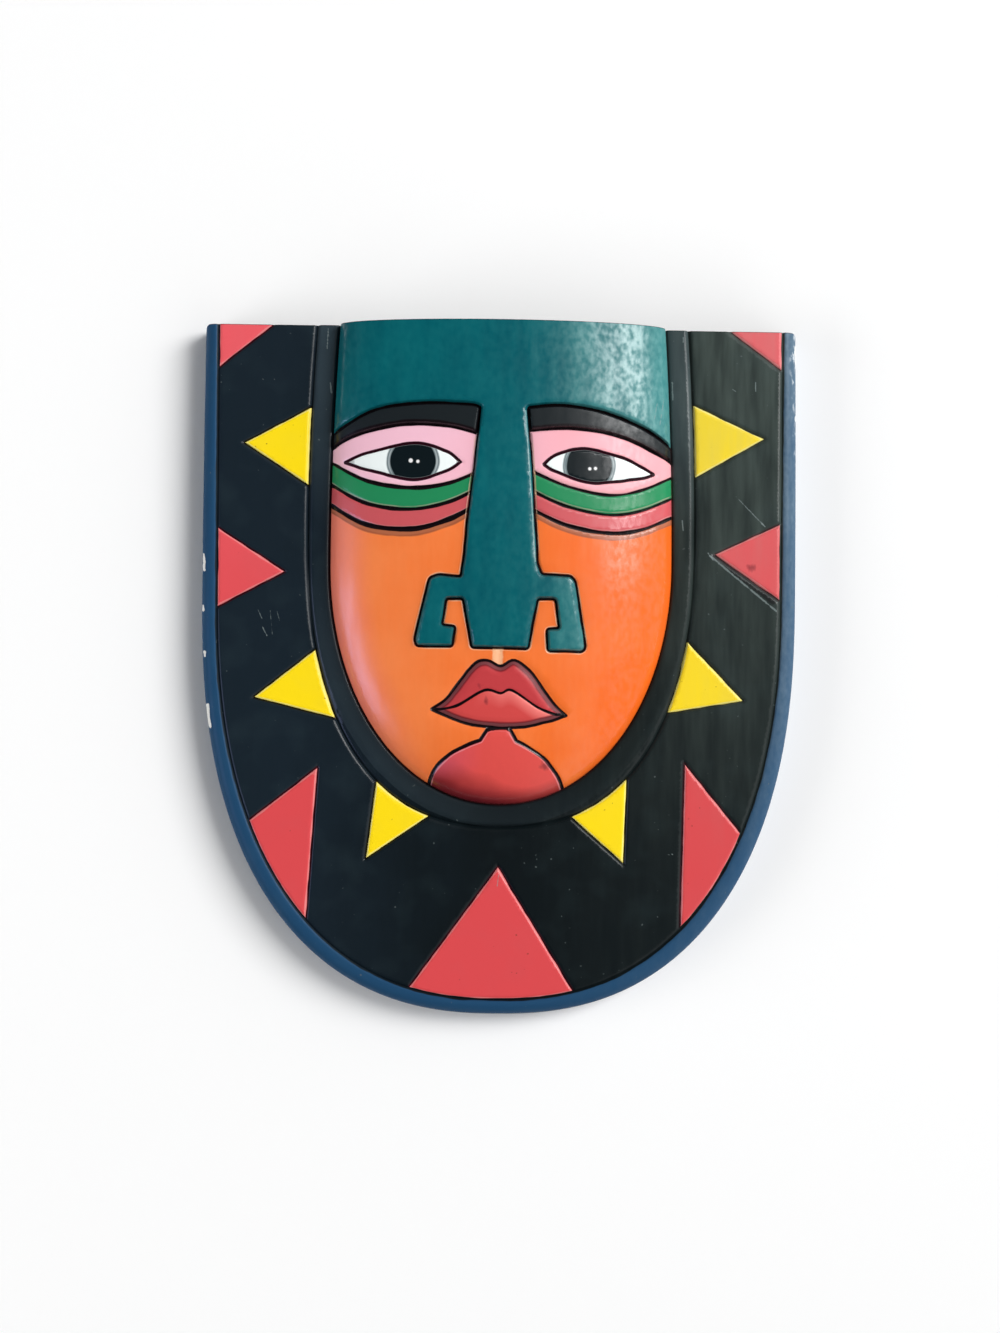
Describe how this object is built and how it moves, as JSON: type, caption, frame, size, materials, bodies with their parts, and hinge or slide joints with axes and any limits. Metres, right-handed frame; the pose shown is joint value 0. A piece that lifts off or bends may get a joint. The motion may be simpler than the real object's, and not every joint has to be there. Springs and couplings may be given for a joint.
{
  "type": "tribal mask",
  "caption": "U-shaped carved and painted wooden mask: a long domed face in relief with a stepped nose, a plain band around it and a field of triangular rays inside a rounded rim.",
  "frame": {"origin": "centre of the bounding box's underside, on the plane of the flat back", "axes": "+Z out of the carved face, +Y to the straight sawn top edge, +X to the viewer's right as the face is seen; the mask lies on its back"},
  "size_m": [0.346, 0.4, 0.0549],
  "materials": {
    "painted_wood": "hand-painted semi-gloss enamel over carved wood, bare at the back"
  },
  "bodies": {
    "root": {"mask": "painted_wood"}
  },
  "joints": []
}
